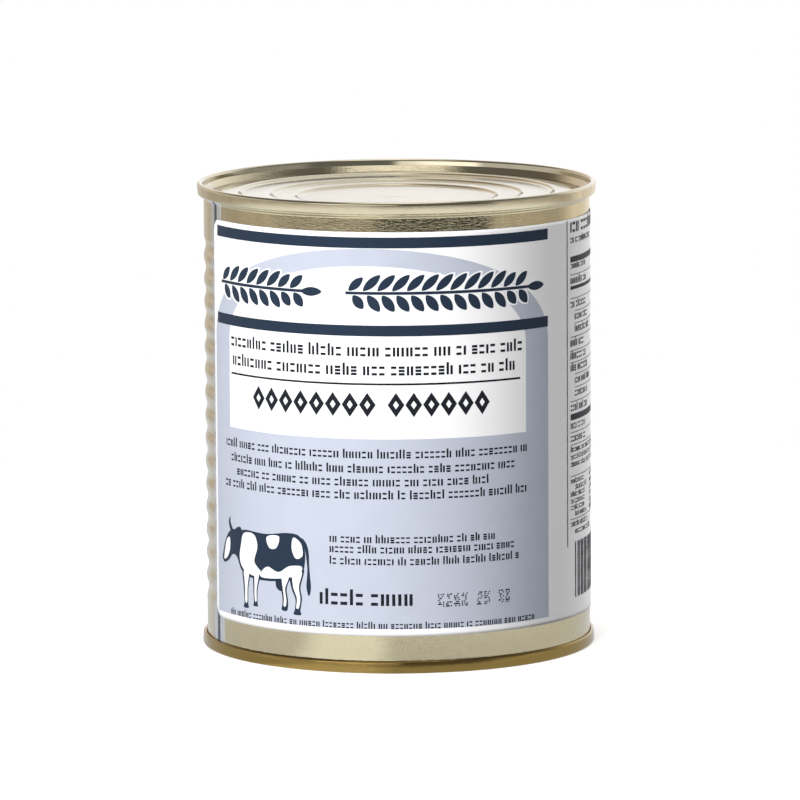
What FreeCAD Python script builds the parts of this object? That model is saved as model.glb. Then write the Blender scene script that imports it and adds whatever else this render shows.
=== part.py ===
import FreeCAD, Part
import math
import os

import Sketcher

# A shut No. 2 1/2 can (401 x 411) of dry goods: a beaded three-piece tinplate body, two
# pressed ends double-seamed onto it, and a paper label wrapped round the beads.
#
# Frame: millimetres, +Z up, origin on the ground in the middle of the bottom seam.
# The middle of the label's front panel looks roughly towards -Y.  Azimuths are counted from
# -Y towards +X.
#
# Every round piece is a profile turned about Z.  A profile is a chain of corners, each a pair
# (radius, height) of expressions on the two sheets below, joined by straight lines or arcs.

Vector = FreeCAD.Vector

# ---------------------------------------------------------------- driving dimensions

SIZES = [
    ("overall_height", 119.8, "ground to the top of the top seam"),
    ("wall_radius", 49.6, "outside of the plain body wall"),
    ("body_sheet", 0.22, "thickness of the body's tinplate"),
    ("end_sheet", 0.25, "thickness of the ends' tinplate"),
    ("top_flare", 0.71, "how far the wall opens out into the top seam"),
    ("bottom_flare", 0.16, "how far the wall opens out into the bottom seam"),
    ("flare_radius", 0.6, "bends of the flared wall"),
    ("flare_drop", 0.1, "least plain wall between a seam's curl and the flare"),
    ("seam_length", 3.1, "height of a double seam"),
    ("seam_clearance", 0.09, "sealing compound between two layers of a seam"),
    ("hook_bend_radius", 0.16, "inside radius of the body hook's bend"),
    ("hook_room", 0.25, "free room past the tip of each hook"),
    ("panel_depth", 2.5, "outer land of an end, below the seam's top"),
    ("countersink_depth", 3.2, "floor of the gutter round an end, below the seam's top"),
    ("gutter_width", 4.15, "chuck wall to the edge of the end's panel"),
    ("gutter_bend", 0.8, "bend between the gutter's floor and the chuck wall"),
    ("outer_land", 5.3, "panel edge to the first expansion ring"),
    ("middle_land", 8.2, "first to second expansion ring"),
    ("inner_land", 6.5, "second to third expansion ring"),
    ("ring_step", 0.6, "drop at each expansion ring, towards the middle"),
    ("ring_bend", 1.5, "bends of the expansion rings and of the panel's edge"),
    ("fill_clearance", 0.45, "free room between the contents and an end"),
    ("bead_pitch", 5.93, "one body bead to the next"),
    ("bead_depth", 0.5, "crest to valley of a body bead"),
    ("bead_stand", 0.05, "crest of a bead, outside the plain wall"),
    ("plain_top", 12.0, "least plain wall above the beads, seam included"),
    ("plain_bottom", 11.87, "plain wall below the beads, seam included"),
    ("label_top_margin", 7.6, "top of the can to the label"),
    ("label_bottom_margin", 9.5, "ground to the label"),
    ("label_sheet", 0.1, "thickness of the label's paper"),
    ("label_clearance", 0.07, "label to the bead crests"),
    ("label_corner", 3.0, "rounded corners of the label"),
    ("label_start", -69.2, "azimuth of the label's left edge, in degrees"),
    ("bare_strip", 33.5, "width of wall that the label leaves bare"),
]

RINGS = 3

# ---------------------------------------------------------------- worked-out places


def end_places(end):
    """Faces of one double seam, from the wall outwards, and the rings of its end."""
    seam = "Places." + end + "_seam_radius"
    return [
        (end + "_wall_face", "Sizes.wall_radius + Sizes." + end + "_flare", "body wall inside the seam"),
        (end + "_seam_radius", "Places." + end + "_wall_face + 2 * Sizes.end_sheet + Sizes.body_sheet"
         " + 3 * Sizes.seam_clearance", "outside of the seam"),
        (end + "_hook_face", seam + " - Sizes.end_sheet - Sizes.seam_clearance", "outside of the body hook"),
        (end + "_chuck_face", seam + " - Places.seam_thickness", "inside of the seam"),
        (end + "_flare_height", "sqrt(4 * Sizes.flare_radius * Sizes." + end + "_flare"
         " - Sizes." + end + "_flare * Sizes." + end + "_flare)", "height of the flared wall"),
        (end + "_foot", "Places.flare_start + Places." + end + "_flare_height",
         "depth at which the wall is plain"),
        (end + "_fill", "max(Places." + end + "_foot + Sizes.fill_clearance;"
         " Places.panel_bottom + Sizes.end_sheet + Sizes.fill_clearance)", "depth of the contents"),
        (end + "_panel_edge", "Places." + end + "_chuck_face - Sizes.gutter_width", "edge of the panel"),
        (end + "_ring_1", "Places." + end + "_panel_edge - Sizes.outer_land", "first ring"),
        (end + "_ring_2", "Places." + end + "_ring_1 - Sizes.middle_land", "second ring"),
        (end + "_ring_3", "Places." + end + "_ring_2 - Sizes.inner_land", "third ring"),
    ]


PLACES = [
    ("seam_thickness", "3 * Sizes.end_sheet + 2 * Sizes.body_sheet + 4 * Sizes.seam_clearance",
     "five layers of sheet and the compound between them"),
    ("hook_corner", "Sizes.hook_bend_radius + Sizes.body_sheet", "outside bend of the body hook"),
    ("seam_corner", "Places.hook_corner + Sizes.seam_clearance + Sizes.end_sheet",
     "outside bend of the seam's top"),
    ("curl_radius", "Sizes.end_sheet + Sizes.seam_clearance + Sizes.body_sheet / 2",
     "outside bend of the cover hook"),
    ("curl_start", "Sizes.seam_length - Places.curl_radius", "depth at which the cover hook curls"),
    ("body_hook_tip", "Places.curl_start - Sizes.hook_room", "depth of the body hook's tip"),
    ("cover_hook_tip", "Places.seam_corner + Sizes.hook_room", "depth of the cover hook's tip"),
    ("panel_bottom", "Sizes.panel_depth + %d * Sizes.ring_step" % RINGS, "depth of the centre panel"),
    ("ring_run", "sqrt(4 * Sizes.ring_bend * Sizes.ring_step - Sizes.ring_step * Sizes.ring_step)",
     "width of an expansion ring"),
    ("gutter_drop", "Sizes.countersink_depth - Sizes.panel_depth", "panel edge down to the gutter"),
    ("edge_run", "sqrt(4 * Sizes.ring_bend * Places.gutter_drop - Places.gutter_drop * Places.gutter_drop)",
     "width of the panel's edge"),
    ("flare_start", "max(Sizes.seam_length + Sizes.flare_drop; Sizes.countersink_depth)",
     "depth at which the wall opens out, below the seam's curl and the gutter"),
    ("bead_radius", "Sizes.bead_pitch * Sizes.bead_pitch / (16 * Sizes.bead_depth) + Sizes.bead_depth / 4",
     "arcs of the bead wave"),
    ("bead_middle", "Sizes.wall_radius + Sizes.bead_stand - Sizes.bead_depth / 2",
     "mid line of the bead wave"),
    ("shoulder_radius", "Places.bead_radius * (Sizes.wall_radius - Places.bead_middle)"
     " * 2 / Sizes.bead_depth",
     "arc from the plain wall into the first valley"),
    ("shoulder_run", "Places.shoulder_radius * Sizes.bead_pitch / (4 * Places.bead_radius)",
     "height of that arc"),
    ("label_radius", "Sizes.wall_radius + Sizes.bead_stand + Sizes.label_clearance", "inside of the label"),
    ("label_angle", "360 - Sizes.bare_strip / Places.label_radius * 180 / pi",
     "arc of the label in degrees"),
] + end_places("top") + end_places("bottom")


def make_sheet(doc, name, rows, formula):
    """A spreadsheet with a meaning in column A and an aliased value in column B of each row."""
    sheet = doc.addObject("Spreadsheet::Sheet", name)
    for number, (alias, value, meaning) in enumerate(rows, 1):
        sheet.set("A%d" % number, meaning)
        sheet.setAlias("B%d" % number, alias)
        if not formula:
            sheet.set("B%d" % number, str(value))
    if formula:
        for number, (alias, value, meaning) in enumerate(rows, 1):
            sheet.set("B%d" % number, "=" + value.replace("Places.", ""))
    return sheet


# ---------------------------------------------------------------- profiles

# A profile is a list of corners (radius, height, edge).  The edge leads to the next corner and
# is STRAIGHT, or a pair (arc radius, turn) whose turn is LEFT or RIGHT.

STRAIGHT = None
LEFT = 1
RIGHT = -1


def flip(edge):
    """The same edge seen in a mirror, or walked the other way."""
    return STRAIGHT if edge is STRAIGHT else (edge[0], -edge[1])


def walk_back(profile):
    """The same open profile from its last corner to its first."""
    edges = [flip(corner[2]) for corner in profile[:-1]]
    places = [corner[:2] for corner in reversed(profile)]
    return [place + (edge,) for place, edge in zip(places, list(reversed(edges)) + [STRAIGHT])]


def at_end(profile, end):
    """Turn depths below a seam's rim into heights, at the top or the bottom of the can."""
    if end == "top":
        return [(radius, "Sizes.overall_height - (%s)" % depth, edge) for radius, depth, edge in profile]
    return [(radius, depth, flip(edge)) for radius, depth, edge in profile]


def s_bend(radius, depth, next_radius, next_depth, bend, first_turn):
    """Two equal arcs from one place to another, upright or level where they start and end."""
    middle_radius = "(%s + %s) / 2" % (radius, next_radius)
    middle_depth = "(%s + %s) / 2" % (depth, next_depth)
    return [
        (radius, depth, (bend, first_turn)),
        (middle_radius, middle_depth, (bend, -first_turn)),
    ]


def end_line(end):
    """Outside of a pressed end: centre panel, rings, gutter, chuck wall, seam and cover hook."""
    chuck = "Places." + end + "_chuck_face"
    seam = "Places." + end + "_seam_radius"
    line = [("0", "Places.panel_bottom", STRAIGHT)]
    for ring in range(RINGS, 0, -1):
        inner = "Places.%s_ring_%d - Places.ring_run / 2" % (end, ring)
        outer = "Places.%s_ring_%d + Places.ring_run / 2" % (end, ring)
        low = "Sizes.panel_depth + %d * Sizes.ring_step" % ring
        high = "Sizes.panel_depth + %d * Sizes.ring_step" % (ring - 1)
        line += s_bend(inner, low, outer, high, "Sizes.ring_bend", LEFT)
        line += [(outer, high, STRAIGHT)]
    inner = "Places." + end + "_panel_edge - Places.edge_run / 2"
    outer = "Places." + end + "_panel_edge + Places.edge_run / 2"
    line += s_bend(inner, "Sizes.panel_depth", outer, "Sizes.countersink_depth", "Sizes.ring_bend", RIGHT)
    line += [
        (outer, "Sizes.countersink_depth", STRAIGHT),
        (chuck + " - Sizes.gutter_bend", "Sizes.countersink_depth", ("Sizes.gutter_bend", LEFT)),
        (chuck, "Sizes.countersink_depth - Sizes.gutter_bend", STRAIGHT),
        (chuck, "Places.seam_corner", ("Places.seam_corner", RIGHT)),
        (chuck + " + Places.seam_corner", "0", STRAIGHT),
        (seam + " - Places.seam_corner", "0", ("Places.seam_corner", RIGHT)),
        (seam, "Places.seam_corner", STRAIGHT),
        (seam, "Places.curl_start", ("Places.curl_radius", RIGHT)),
        (seam + " - Places.curl_radius", "Sizes.seam_length", ("Places.curl_radius", RIGHT)),
        (seam + " - 2 * Places.curl_radius", "Places.curl_start", STRAIGHT),
        (seam + " - 2 * Places.curl_radius", "Places.cover_hook_tip", STRAIGHT),
    ]
    return at_end(line, end)


def wall_end(end):
    """One end of the filled body: contents, inside of the wall, body hook, outside of the wall."""
    outside = "Places." + end + "_wall_face"
    inside = outside + " - Sizes.body_sheet"
    hook = "Places." + end + "_hook_face"
    hook_inside = hook + " - Sizes.body_sheet"
    plain_inside = "Sizes.wall_radius - Sizes.body_sheet"
    foot = "Places." + end + "_foot"
    flare = "Places.flare_start"
    bend_top = "Sizes.end_sheet + Sizes.seam_clearance"
    flare_middle = "(%s + %s) / 2" % (flare, foot)
    # the inner face of the flare runs one sheet inside the outer one, square to the sheet
    slope = "Sizes.body_sheet * (1 - Sizes.%s_flare / (2 * Sizes.flare_radius))" % end
    rise = "Sizes.body_sheet * Places.%s_flare_height / (2 * Sizes.flare_radius)" % end
    line = [
        ("0", "Places." + end + "_fill", STRAIGHT),
        (plain_inside, "Places." + end + "_fill", STRAIGHT),
        (plain_inside, foot, ("Sizes.flare_radius + Sizes.body_sheet", RIGHT)),
        ("Sizes.wall_radius + Sizes.%s_flare / 2 - %s" % (end, slope), flare_middle + " - " + rise,
         ("Sizes.flare_radius - Sizes.body_sheet", LEFT)),
        (inside, flare, STRAIGHT),
        (inside, "Places.seam_corner", ("Places.hook_corner", RIGHT)),
        (inside + " + Places.hook_corner", bend_top, STRAIGHT),
        (hook + " - Places.hook_corner", bend_top, ("Places.hook_corner", RIGHT)),
        (hook, "Places.seam_corner", STRAIGHT),
        (hook, "Places.body_hook_tip", STRAIGHT),
        (hook_inside, "Places.body_hook_tip", STRAIGHT),
        (hook_inside, "Places.seam_corner", ("Sizes.hook_bend_radius", LEFT)),
        (hook_inside + " - Sizes.hook_bend_radius", bend_top + " + Sizes.body_sheet", STRAIGHT),
        (outside + " + Sizes.hook_bend_radius", bend_top + " + Sizes.body_sheet",
         ("Sizes.hook_bend_radius", LEFT)),
        (outside, "Places.seam_corner", STRAIGHT),
    ]
    line += s_bend(outside, flare, "Sizes.wall_radius", foot, "Sizes.flare_radius", RIGHT)
    line += [("Sizes.wall_radius", foot, STRAIGHT)]
    return at_end(line, end)


def bead_wave(count):
    """The wall's beads from the top down: equal arcs, valley and crest by turns."""
    def height(pitches):
        return "Sizes.plain_bottom + %s * Sizes.bead_pitch" % pitches

    shoulder = ("Places.shoulder_radius", RIGHT)
    valley = ("Places.bead_radius", LEFT)
    crest = ("Places.bead_radius", RIGHT)
    wave = [("Sizes.wall_radius", height(count - 0.25) + " + Places.shoulder_run", shoulder)]
    for groove in range(count, 0, -1):
        wave += [
            ("Places.bead_middle", height(groove - 0.25), valley),
            ("Places.bead_middle", height(groove - 0.75), crest if groove > 1 else shoulder),
        ]
    wave += [("Sizes.wall_radius", height(0.25) + " - Places.shoulder_run", STRAIGHT)]
    return wave


def draw_profile(sketch, profile, sheet, closed):
    """Draw a profile in a sketch and tie each corner and each arc's radius to the sheets."""
    places = [Vector(float(sheet.evalExpression(radius)), float(sheet.evalExpression(height)), 0)
              for radius, height, _ in profile]
    count = len(profile) if closed else len(profile) - 1
    shapes = []
    ends = []
    for number in range(count):
        start = places[number]
        finish = places[(number + 1) % len(places)]
        edge = profile[number][2]
        if edge is STRAIGHT:
            shapes.append(Part.LineSegment(start, finish))
            ends.append((1, 2))
            continue
        bend = float(sheet.evalExpression(edge[0]))
        chord = finish - start
        reach = math.sqrt(bend ** 2 - (chord.Length / 2) ** 2) * edge[1]
        centre = (start + finish) / 2 + Vector(-chord.y, chord.x, 0).normalize() * reach
        first, last = (start, finish) if edge[1] == LEFT else (finish, start)
        angles = [math.atan2(place.y - centre.y, place.x - centre.x) for place in (first, last)]
        circle = Part.Circle(centre, Vector(0, 0, 1), bend)
        shapes.append(Part.ArcOfCircle(circle, angles[0], angles[1]))
        ends.append((1, 2) if edge[1] == LEFT else (2, 1))
    sketch.addGeometry(shapes, False)

    rules = []
    expressions = []

    def bind(rule, expression):
        expressions.append((len(rules), expression))
        rules.append(rule)

    def fix(piece, end, number):
        radius, height, _ = profile[number]
        if radius == "0":
            rules.append(Sketcher.Constraint("PointOnObject", piece, end, -2))
        else:
            bind(Sketcher.Constraint("DistanceX", piece, end, places[number].x), radius)
        bind(Sketcher.Constraint("DistanceY", piece, end, places[number].y), height)

    for number in range(count):
        fix(number, ends[number][0], number)
        edge = profile[number][2]
        if edge is not STRAIGHT:
            bend = float(sheet.evalExpression(edge[0]))
            bind(Sketcher.Constraint("Radius", number, bend), edge[0])
        following = (number + 1) % count
        if closed or number + 1 < count:
            rules.append(Sketcher.Constraint("Coincident", number, ends[number][1],
                                             following, ends[following][0]))
    if not closed:
        fix(count - 1, ends[-1][1], count)
    sketch.addConstraint(rules)
    for index, expression in expressions:
        sketch.setExpression("Constraints[%d]" % index, expression)


# ---------------------------------------------------------------- pieces


def plane_of(body, role):
    """One of a body's own origin planes."""
    return next(item for item in body.Origin.OriginFeatures if item.Role == role)


def turned_body(doc, label, profile, sheet):
    """A body turned about Z from a closed profile.  Its Tip is the feature that turns it."""
    body = doc.addObject("PartDesign::Body", label)
    sketch = body.newObject("Sketcher::SketchObject", label + "_profile")
    sketch.AttachmentSupport = (plane_of(body, "XZ_Plane"), [""])
    sketch.MapMode = "FlatFace"
    draw_profile(sketch, profile, sheet, closed=True)
    turn = body.newObject("PartDesign::Revolution", label + "_turn")
    turn.Profile = sketch
    turn.ReferenceAxis = (sketch, ["V_Axis"])
    turn.Angle = 360
    return body


def can_body(doc, sheet):
    """The filled body: its wall runs up and down into a hook at each end."""
    room = "(Sizes.overall_height - Sizes.plain_top - Sizes.plain_bottom) / Sizes.bead_pitch"
    grooves = int(float(sheet.evalExpression(room)))
    profile = wall_end("top") + bead_wave(grooves) + walk_back(wall_end("bottom"))
    return turned_body(doc, "can_body", profile, sheet)


def pressed_end(doc, end, sheet):
    """A can end: one line of bent sheet, given its thickness inwards and turned about Z."""
    label = end + "_end"
    line = doc.addObject("Sketcher::SketchObject", label + "_line")
    line.Placement = FreeCAD.Placement(Vector(0, 0, 0), FreeCAD.Rotation(Vector(1, 0, 0), 90))
    draw_profile(line, end_line(end), sheet, closed=False)
    section = doc.addObject("Part::Offset2D", label + "_section")
    section.Source = line
    section.Mode = "Skin"
    section.Fill = True
    inwards = "-" if end == "top" else ""
    section.setExpression("Value", inwards + "Sizes.end_sheet")
    turn = doc.addObject("Part::Revolution", label)
    turn.Source = section
    turn.Axis = Vector(0, 0, 1)
    turn.Base = Vector(0, 0, 0)
    turn.Angle = 360
    turn.Solid = True
    return turn


def paper_label(doc, sheet):
    """The label: a thin band round the bead crests with rounded corners, open at the side seam."""
    outside = "Places.label_radius + Sizes.label_sheet"
    top = "Sizes.overall_height - Sizes.label_top_margin"
    profile = [
        ("Places.label_radius", "Sizes.label_bottom_margin", STRAIGHT),
        (outside, "Sizes.label_bottom_margin", STRAIGHT),
        (outside, top, STRAIGHT),
        ("Places.label_radius", top, STRAIGHT),
    ]
    body = turned_body(doc, "label", profile, sheet)
    turn = body.Tip
    turn.setExpression("Angle", "Places.label_angle")
    body.Placement = FreeCAD.Placement(Vector(0, 0, 0), FreeCAD.Rotation(Vector(0, 0, 1), -90))
    body.setExpression("Placement.Rotation.Angle", "Sizes.label_start - 90")
    doc.recompute()
    # only the edges through the paper are as short as the paper is thick
    thickness = float(sheet.evalExpression("Sizes.label_sheet"))
    corners = ["Edge%d" % number for number, edge in enumerate(turn.Shape.Edges, 1)
               if edge.Length < 2 * thickness]
    rounding = body.newObject("PartDesign::Fillet", "label_corners")
    rounding.Base = (turn, corners)
    rounding.setExpression("Radius", "Sizes.label_corner")
    return body


def main():
    doc = FreeCAD.newDocument("can")
    sizes = make_sheet(doc, "Sizes", SIZES, formula=False)
    make_sheet(doc, "Places", PLACES, formula=True)
    doc.recompute()

    pieces = [
        can_body(doc, sizes),
        pressed_end(doc, "top", sizes),
        pressed_end(doc, "bottom", sizes),
        paper_label(doc, sizes),
    ]
    doc.recompute()

    for item in doc.Objects:
        if "Invalid" in item.State or "Error" in item.State:
            raise RuntimeError("%s failed: %s" % (item.Label, item.State))
    for piece in pieces:
        if piece.Shape.isNull() or not piece.Shape.isValid():
            raise RuntimeError("%s has no valid shape" % piece.Label)

    os.makedirs("parts", exist_ok=True)
    for piece in pieces:
        piece.Shape.exportStep("parts/%s.step" % piece.Label)
        box = piece.Shape.BoundBox
        print("%s: %d solid, volume %.1f, X %.2f..%.2f, Y %.2f..%.2f, Z %.2f..%.2f"
              % (piece.Label, len(piece.Shape.Solids), piece.Shape.Volume, box.XMin, box.XMax,
                 box.YMin, box.YMax, box.ZMin, box.ZMax))


main()
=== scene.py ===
"""A shut can of dry goods: beaded tinplate body, two double-seamed ends and a printed paper label.

Lengths are in metres.  Angles are in radians, except where a comment or a docstring says degrees.
The can stands on the ground with its axis along +Z, and azimuths are counted from -Y, the front,
towards +X.
"""

import math

import bpy
import numpy as np
from mathutils import Matrix, Vector
from mathutils.geometry import delaunay_2d_cdt


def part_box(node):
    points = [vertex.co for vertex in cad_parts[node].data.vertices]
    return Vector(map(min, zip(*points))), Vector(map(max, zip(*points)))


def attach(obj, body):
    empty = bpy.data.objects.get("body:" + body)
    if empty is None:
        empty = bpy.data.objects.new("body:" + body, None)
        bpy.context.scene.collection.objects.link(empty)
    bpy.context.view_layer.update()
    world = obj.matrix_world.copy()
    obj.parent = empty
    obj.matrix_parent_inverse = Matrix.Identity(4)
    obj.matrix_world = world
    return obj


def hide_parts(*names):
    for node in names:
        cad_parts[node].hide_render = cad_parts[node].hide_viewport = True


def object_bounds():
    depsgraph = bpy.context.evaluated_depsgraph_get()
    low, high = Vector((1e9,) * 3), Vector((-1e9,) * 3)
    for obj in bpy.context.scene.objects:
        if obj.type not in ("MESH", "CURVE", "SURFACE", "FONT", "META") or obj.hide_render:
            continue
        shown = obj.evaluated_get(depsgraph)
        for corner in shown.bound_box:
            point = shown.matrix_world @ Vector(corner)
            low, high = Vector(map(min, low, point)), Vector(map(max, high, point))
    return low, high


bl_info = {
    "name": "Beaded food can",
    "version": (1, 0, 0),
    "blender": (4, 5, 0),
    "location": "3D View > Sidebar > Can",
    "description": "Builds a shut beaded can with a paper label, on a plain stage",
    "category": "Object",
}

MM = 0.001
FULL_TURN = 2 * math.pi
QUARTER_TURN = math.pi / 2
BODY = "root"
WHITE = (1, 1, 1, 1)

# points round each piece, and rows up the paper
WALL_SEGMENTS = 240
END_SEGMENTS = 288
PAPER_SEGMENTS = 256
PAPER_ROWS = 120
FLOOR_SEGMENTS = 96

# ink: thickness, longest side of a flat face, and how far each layer stands off the paper
INK_DEPTH = 0.012 * MM
INK_CELL = 1.0 * MM
BAND_LIFT = 0.014 * MM
HALO_LIFT = 0.024 * MM
INK_LIFT = 0.034 * MM
INSIDE_LIFT = 0.044 * MM

# the frame, and the CAD model's box before any piece is built
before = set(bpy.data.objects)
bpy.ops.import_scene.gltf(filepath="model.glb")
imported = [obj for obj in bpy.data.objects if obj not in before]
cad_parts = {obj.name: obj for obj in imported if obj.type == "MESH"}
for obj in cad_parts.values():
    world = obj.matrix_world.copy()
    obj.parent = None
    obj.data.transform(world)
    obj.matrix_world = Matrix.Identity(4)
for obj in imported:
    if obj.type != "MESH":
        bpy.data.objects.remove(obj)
CAD_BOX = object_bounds()


# ------------------------------------------------------------------ settings


def length(name, millimetres, description):
    """A length property given in millimetres."""
    return bpy.props.FloatProperty(
        name=name, description=description, default=millimetres * MM, min=0,
        unit="LENGTH", subtype="DISTANCE", precision=5)


def tint(name, default, description):
    """A linear colour property."""
    return bpy.props.FloatVectorProperty(
        name=name, description=description, default=default, min=0, max=1, size=3, subtype="COLOR")


def degrees(name, size, description):
    """An angle property given in degrees."""
    return bpy.props.FloatProperty(
        name=name, description=description, default=math.radians(size),
        unit="ROTATION", subtype="ANGLE", precision=5)


def power(name, watts, description):
    """A lamp's power."""
    return bpy.props.FloatProperty(name=name, description=description, default=watts, min=0, unit="POWER")


class CanSettings(bpy.types.PropertyGroup):
    """Sizes and colours of the tinplate body and its two ends."""

    wall_radius: length("Wall radius", 49.6, "Outside of the plain body wall")
    body_sheet: length("Body sheet", 0.22, "Thickness of the body's tinplate")
    end_sheet: length("End sheet", 0.25, "Thickness of the ends' tinplate")
    bead_pitch: length("Bead pitch", 5.93, "One body bead to the next")
    bead_depth: length("Bead depth", 0.5, "Crest to valley of a body bead")
    bead_stand: length("Bead stand", 0.05, "Crest of a bead, outside the plain wall")
    plain_top: length("Plain top", 12, "Least plain wall above the beads, seam included")
    plain_bottom: length("Plain bottom", 11.87, "Plain wall below the beads, seam included")
    top_flare: length("Top flare", 0.58, "How far the wall opens out into the top seam")
    bottom_flare: length("Bottom flare", 0.02, "How far the wall opens out into the bottom seam")
    flare_radius: length("Flare radius", 0.6, "Bends of the wall where it opens into a seam")
    seam_lean: degrees("Seam lean", 5, "How far a seam's two faces lean outwards towards its rim")
    seam_length: length("Seam length", 3.1, "Height of a double seam")
    seam_thickness: length("Seam thickness", 1.55, "Radial thickness of a double seam")
    seam_corner: length("Seam corner", 0.72, "Outside bend of the seam's top")
    curl_radius: length("Curl radius", 0.45, "Outside bend of the cover hook")
    panel_depth: length("Panel depth", 2.5, "Outer land of an end, below the seam's top")
    countersink_depth: length("Countersink depth", 3.2, "Gutter round an end, below the seam's top")
    gutter_width: length("Gutter width", 4.15, "Chuck wall to the edge of the end's panel")
    gutter_bend: length("Gutter bend", 0.8, "Bend between the gutter and the chuck wall")
    outer_land: length("Outer land", 5.3, "Panel edge to the first expansion ring")
    middle_land: length("Middle land", 8.2, "First to second expansion ring")
    inner_land: length("Inner land", 6.5, "Second to third expansion ring")
    ring_step: length("Ring step", 0.6, "Drop at each expansion ring")
    ring_bend: length("Ring bend", 1.5, "Bends of the expansion rings")
    weld_azimuth: degrees("Weld azimuth", -68.5, "Where the side weld runs")
    weld_width: length("Weld width", 1.9, "Width of the side weld")
    bare_width: length("Bare margin", 7.5, "Width of unlacquered sheet along the weld")
    lacquer_colour: tint("Lacquered tinplate", (0.60, 0.53, 0.35), "Gold lacquered sheet of the body")
    top_colour: tint("Top end", (0.61, 0.55, 0.39), "Lacquered sheet of the top end")
    # the bottom end's colour is darkened and deepened: painted shade for the dim, shadowed floor that its
    # seam mirrors close below
    bottom_shaded_colour: tint("Bottom end", (0.32, 0.215, 0.065), "Darker lacquered sheet of the bottom end")
    bare_colour: tint("Bare tinplate", (0.72, 0.73, 0.75), "Unlacquered sheet")
    weld_colour: tint("Weld", (0.11, 0.13, 0.17), "Oxidised line of the weld")


class LabelSettings(bpy.types.PropertyGroup):
    """Sizes and colours of the paper label."""

    left_edge: degrees("Left edge", -69.2, "Azimuth of the label's left edge")
    bare_strip: length("Bare strip", 33.5, "Width of wall that the label leaves bare")
    sheet: length("Sheet", 0.1, "Thickness of the paper")
    corner: length("Corner", 3, "Rounded corners of the paper")
    ripple: length("Ripple", 0.03, "How far the paper sinks between two beads")
    paper_colour: tint("Paper", (0.87, 0.865, 0.875), "Bare paper")
    navy_colour: tint("Navy ink", (0.017, 0.028, 0.049), "Bars and headline")
    grey_colour: tint("Grey ink", (0.45, 0.48, 0.56), "Wide band behind the text")
    black_colour: tint("Black ink", (0.010, 0.011, 0.016), "Small text")


class StageSettings(bpy.types.PropertyGroup):
    """Camera, lamps and floor."""

    camera_distance: length("Camera distance", 1844.3, "Camera to the can's axis, along the ground")
    camera_height: length("Camera height", 326.37, "Camera above the ground")
    camera_pitch: degrees("Camera pitch", 8.1368, "How far the camera looks down")
    camera_turn: degrees("Camera turn", -0.01948, "How far the camera looks past the axis")
    camera_roll: degrees("Camera roll", -0.30367, "How far the camera leans")
    camera_lens: bpy.props.FloatProperty(
        name="Camera lens", description="Focal length of the camera", default=324.63, min=1, unit="CAMERA")
    key_power: power("Key lamp", 42, "Power of the large lamp at the front left")
    fill_power: power("Fill lamp", 34, "Power of the lamp behind on the right")
    top_power: power("Top lamp", 5, "Power of the lamp overhead")
    floor_colour: tint("Floor", (0.85, 0.85, 0.85), "Plain floor")


# ------------------------------------------------------------------ meshes


def put(name, data):
    """A new object, put in the scene."""
    item = bpy.data.objects.new(name, data)
    bpy.context.scene.collection.objects.link(item)
    return item


def walk(start, heading, steps):
    """Points and left-hand normals along a chain of straight runs and arcs.

    Each step is (run, turn): the heading turns evenly by turn radians over the run.  At distance t
    into a step with curvature k the point has moved by (sin(h + kt) - sin(h), cos(h) - cos(h + kt)) / k.
    """
    bend_step = 0.12
    place = np.array(start, float)
    points = [place]
    normals = [np.array([-math.sin(heading), math.cos(heading)])]
    for run, turn in steps:
        count = max(1, math.ceil(abs(turn) / bend_step))
        t = run * np.arange(1, count + 1) / count
        angle = heading + turn * t / run
        if abs(turn) < 1e-9:
            moved = np.stack([t * math.cos(heading), t * math.sin(heading)], axis=1)
        else:
            k = turn / run
            turned_by = [np.sin(angle) - math.sin(heading), math.cos(heading) - np.cos(angle)]
            moved = np.stack(turned_by, axis=1) / k
        points.extend(place + moved)
        normals.extend(np.stack([-np.sin(angle), np.cos(angle)], axis=1))
        place = place + moved[-1]
        heading += turn
    return np.array(points), np.array(normals)


def wrapped(radius, angle, height):
    """Points round the can: (r sin a, -r cos a, h) for a radius r, an azimuth a and a height h."""
    return np.stack([radius * np.sin(angle), -radius * np.cos(angle), height + 0 * angle], axis=-1)


def grid_faces(rows, columns, close_rows=False, close_columns=False):
    """Quads joining a grid of rows x columns points, wrapped round where it closes."""
    index = np.arange(rows * columns).reshape(rows, columns)
    if close_rows:
        index = np.vstack([index, index[:1]])
    if close_columns:
        index = np.hstack([index, index[:, :1]])
    corners = [index[:-1, :-1], index[:-1, 1:], index[1:, 1:], index[1:, :-1]]
    return np.stack(corners, axis=-1).reshape(-1, 4)


def make_piece(name, points, faces, material, replaced=(), smooth=True):
    """A closed mesh piece with outward faces: the faces turn round if its signed volume is negative.

    The faces are arrays of corner indices, each array with its own number of corners.
    """
    first = np.concatenate([np.repeat(group[:, 0], group.shape[1] - 2) for group in faces])
    second = np.concatenate([group[:, 1:-1].ravel() for group in faces])
    third = np.concatenate([group[:, 2:].ravel() for group in faces])
    inside = points.mean(axis=0)
    a, b, c = (points[corner] - inside for corner in (first, second, third))
    if np.einsum("ij,ij->", a, np.cross(b, c)) < 0:
        faces = [group[:, ::-1] for group in faces]
    mesh = bpy.data.meshes.new(name)
    loops = np.concatenate([group.ravel() for group in faces])
    sizes = np.concatenate([np.full(len(group), group.shape[1]) for group in faces])
    mesh.vertices.add(len(points))
    mesh.vertices.foreach_set("co", points.astype(np.float32).ravel())
    mesh.loops.add(len(loops))
    mesh.loops.foreach_set("vertex_index", loops.astype(np.int32))
    mesh.polygons.add(len(sizes))
    mesh.polygons.foreach_set("loop_start", (np.cumsum(sizes) - sizes).astype(np.int32))
    mesh.polygons.foreach_set("loop_total", sizes.astype(np.int32))
    mesh.update(calc_edges=True)
    mesh.validate()
    mesh.polygons.foreach_set("use_smooth", np.full(len(mesh.polygons), smooth))
    mesh.materials.append(material)
    piece = put(name, mesh)
    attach(piece, BODY)
    if replaced:
        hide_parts(*replaced)


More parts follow.
